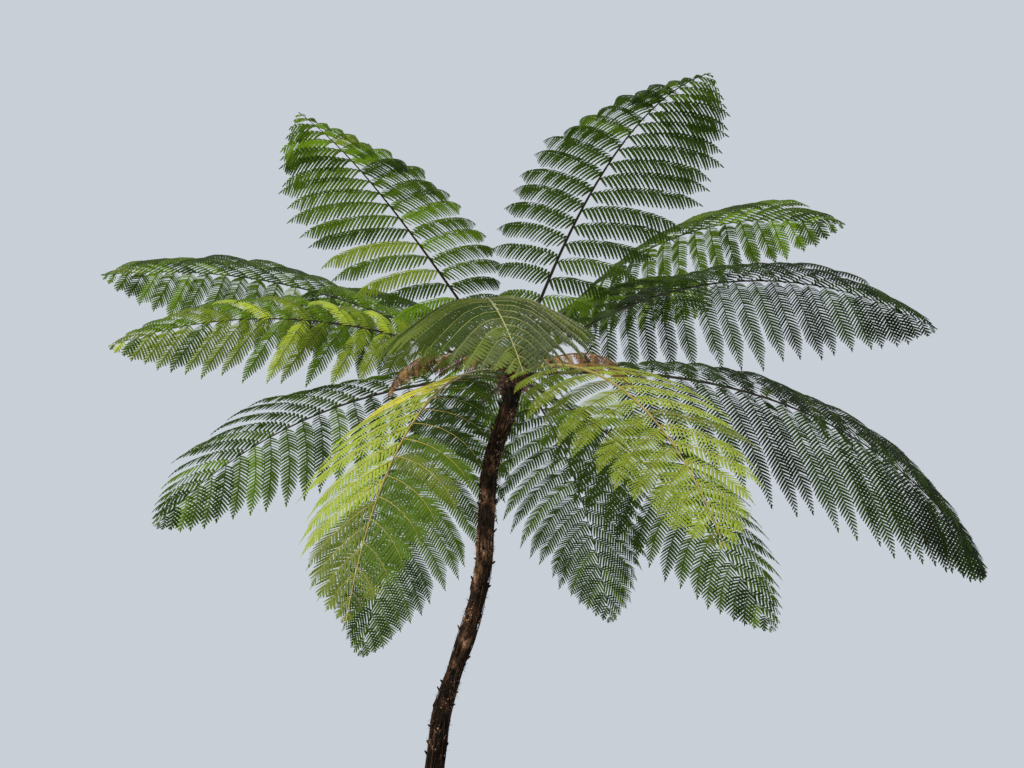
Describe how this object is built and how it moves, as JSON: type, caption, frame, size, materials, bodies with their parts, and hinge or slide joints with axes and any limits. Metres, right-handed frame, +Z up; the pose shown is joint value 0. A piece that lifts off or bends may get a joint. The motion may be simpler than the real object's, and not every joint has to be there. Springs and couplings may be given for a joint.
{
  "type": "tree fern",
  "caption": "Slender leaning tree fern: a fibrous trunk from a flat cut at ground level, a scaly crown head and an open crown of long arching fronds.",
  "frame": {"origin": "middle of the flat cut under the trunk, at ground level", "axes": "+Z up along the height; +X towards the side that the trunk leans to; +Y away from the viewer of the picture"},
  "size_m": [5.6936, 5.6044, 7.1221],
  "materials": {
    "trunk_fibre": "matt",
    "crown_scales": "matt",
    "fronds": "satin",
    "sunlit_fronds": "satin",
    "dead_fronds": "matt"
  },
  "bodies": {
    "root": {"crown_head": "crown_scales", "frond_back_right": "fronds", "frond_broad_right_inner": "fronds", "frond_broad_right_outer": "fronds", "frond_dead_left": "dead_fronds", "frond_dead_right": "dead_fronds", "frond_far": "fronds", "frond_far_left": "fronds", "frond_far_right": "fronds", "frond_front": "fronds", "frond_hanging_left_inner": "fronds", "frond_hanging_left_outer": "fronds", "frond_hanging_right_inner": "fronds", "frond_hanging_right_outer": "fronds", "frond_high_left": "fronds", "frond_high_right_inner": "fronds", "frond_high_right_outer": "fronds", "frond_low_left": "fronds", "frond_low_right": "fronds", "frond_mid_left": "fronds", "frond_near_left": "sunlit_fronds", "frond_near_right": "sunlit_fronds", "frond_overhead_left": "fronds", "frond_overhead_right": "fronds", "trunk": "trunk_fibre"}
  },
  "joints": []
}
